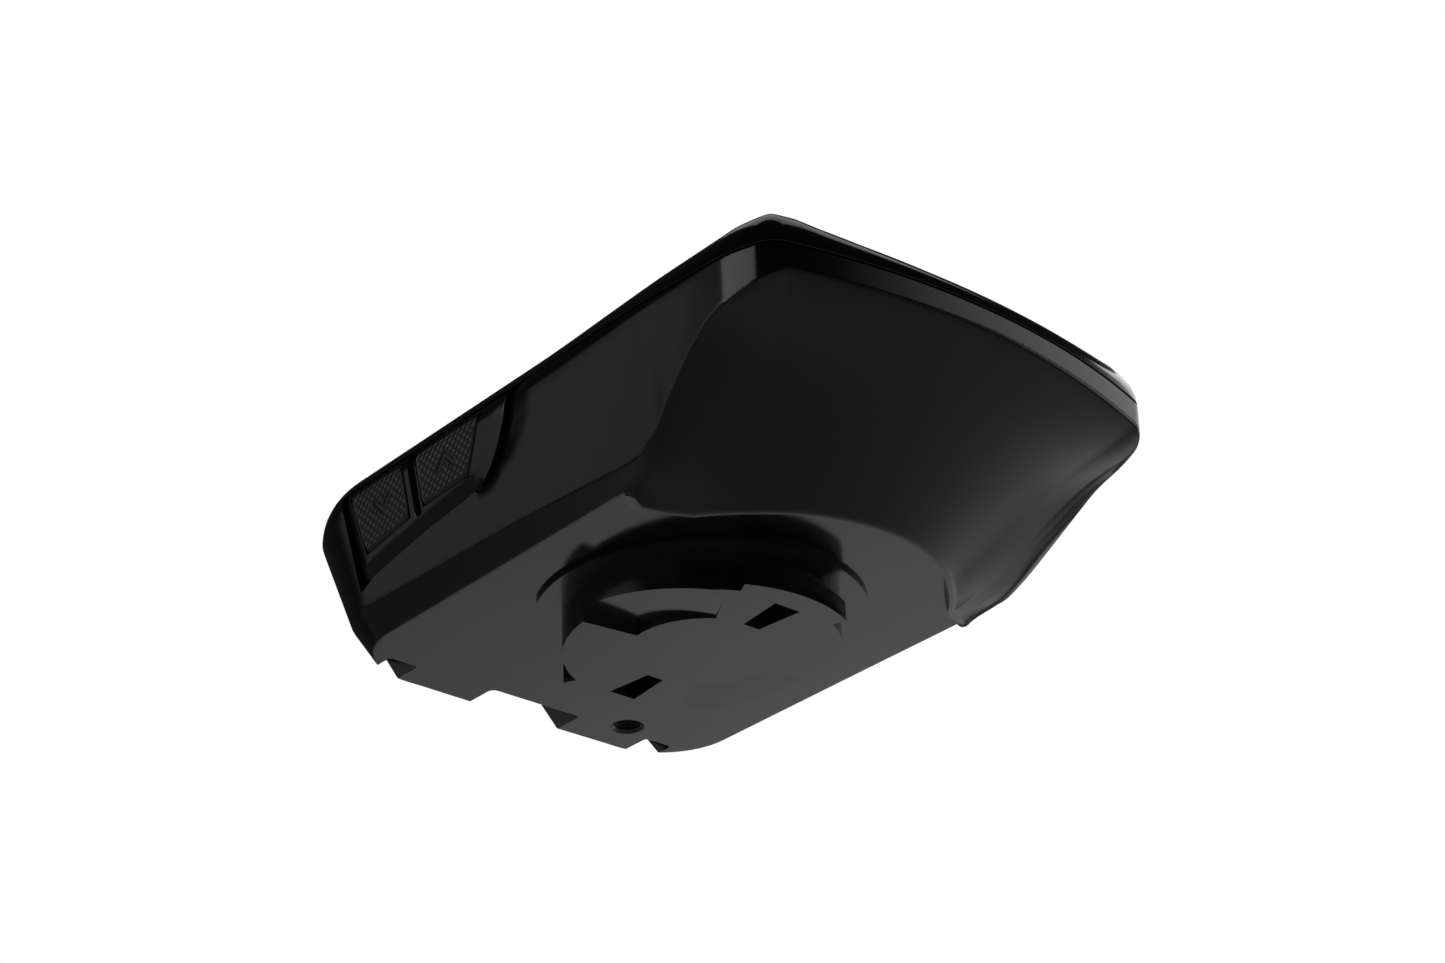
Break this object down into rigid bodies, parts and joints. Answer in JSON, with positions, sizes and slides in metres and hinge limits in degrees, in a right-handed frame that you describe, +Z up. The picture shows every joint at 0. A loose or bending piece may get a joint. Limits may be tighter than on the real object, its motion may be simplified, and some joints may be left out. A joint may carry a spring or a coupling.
{
  "type": "cycling computer",
  "caption": "Compact handlebar cycling computer with a wedge nose, flat screen, side and face buttons, rear port flap and a round quarter-turn mounting boss underneath.",
  "frame": {"origin": "mount axis in the lower face of the quarter-turn boss", "axes": "+X rider's right, +Y towards the nose (direction of travel), +Z up out of the screen"},
  "size_m": [0.0472, 0.0744, 0.0221],
  "materials": {
    "shell_plastic": "satin gloss near-black",
    "bezel_plastic": "satin gloss black",
    "lens": "clear tinted lens",
    "lcd": "reflective grey-green",
    "frame_white": "white moulded",
    "light_pipe": "frosted clear",
    "seal_rubber": "soft matte",
    "boss_plastic": "satin gloss black",
    "screw_steel": "zinc plated",
    "insert_brass": "machined",
    "board_green": "solder mask",
    "battery_foil": "laminated foil",
    "ceramic": "fired ceramic with a silvered patch",
    "buzzer_black": "moulded",
    "vent_membrane": "white membrane",
    "socket_steel": "stamped",
    "flap_rubber": "soft matte",
    "button_rubber": "soft matte",
    "side_button_plastic": "fine crosshatched texture",
    "power_button_plastic": "smooth satin",
    "panel_plastic": "satin",
    "switch_steel": "stamped",
    "pad_rubber": "matte",
    "flex_film": "amber film"
  },
  "bodies": {
    "housing": {"back_shell": "shell_plastic", "top_bezel": "bezel_plastic", "display_lens": "lens", "lcd_panel": "lcd", "display_frame": "frame_white", "status_light_bar": "light_pipe", "seal_gasket": "seal_rubber", "quarter_turn_boss": "boss_plastic", "boss_screws": "screw_steel", "security_screw_insert": "insert_brass", "main_board": "board_green", "battery": "battery_foil", "gps_antenna": "ceramic", "buzzer": "buzzer_black", "pressure_vent": "vent_membrane", "usb_socket": "socket_steel", "side_button_panel": "panel_plastic", "side_switches": "switch_steel", "face_switches": "switch_steel", "face_button_pad": "pad_rubber", "display_flex": "flex_film", "board_screws": "screw_steel"},
    "usb_flap": {"usb_flap": "flap_rubber"},
    "face_button_left": {"face_button_left": "button_rubber"},
    "face_button_middle": {"face_button_middle": "button_rubber"},
    "face_button_right": {"face_button_right": "button_rubber"},
    "up_button": {"up_button": "side_button_plastic"},
    "down_button": {"down_button": "side_button_plastic"},
    "power_button": {"power_button": "power_button_plastic"}
  },
  "joints": [
    {"name": "face_button_left_travel", "type": "slide", "parent": "housing", "child": "face_button_left", "axis": [0, 0, -1], "range_m": [0, 0.0006], "stiffness_N_per_m": 400},
    {"name": "face_button_middle_travel", "type": "slide", "parent": "housing", "child": "face_button_middle", "axis": [0, 0, -1], "range_m": [0, 0.0006], "stiffness_N_per_m": 400},
    {"name": "face_button_right_travel", "type": "slide", "parent": "housing", "child": "face_button_right", "axis": [0, 0, -1], "range_m": [0, 0.0006], "stiffness_N_per_m": 400},
    {"name": "up_button_travel", "type": "slide", "parent": "housing", "child": "up_button", "axis": [-1, 0, 0], "range_m": [0, 0.0005], "stiffness_N_per_m": 400},
    {"name": "down_button_travel", "type": "slide", "parent": "housing", "child": "down_button", "axis": [-1, 0, 0], "range_m": [0, 0.0005], "stiffness_N_per_m": 400},
    {"name": "power_button_travel", "type": "slide", "parent": "housing", "child": "power_button", "axis": [1, 0, 0], "range_m": [0, 0.0005], "stiffness_N_per_m": 400},
    {"name": "usb_flap_hinge", "type": "hinge", "parent": "housing", "child": "usb_flap", "pos_m": [0, -0.03109, 0.01081], "axis": [1, 0, 0], "range_deg": [0, 100]}
  ]
}
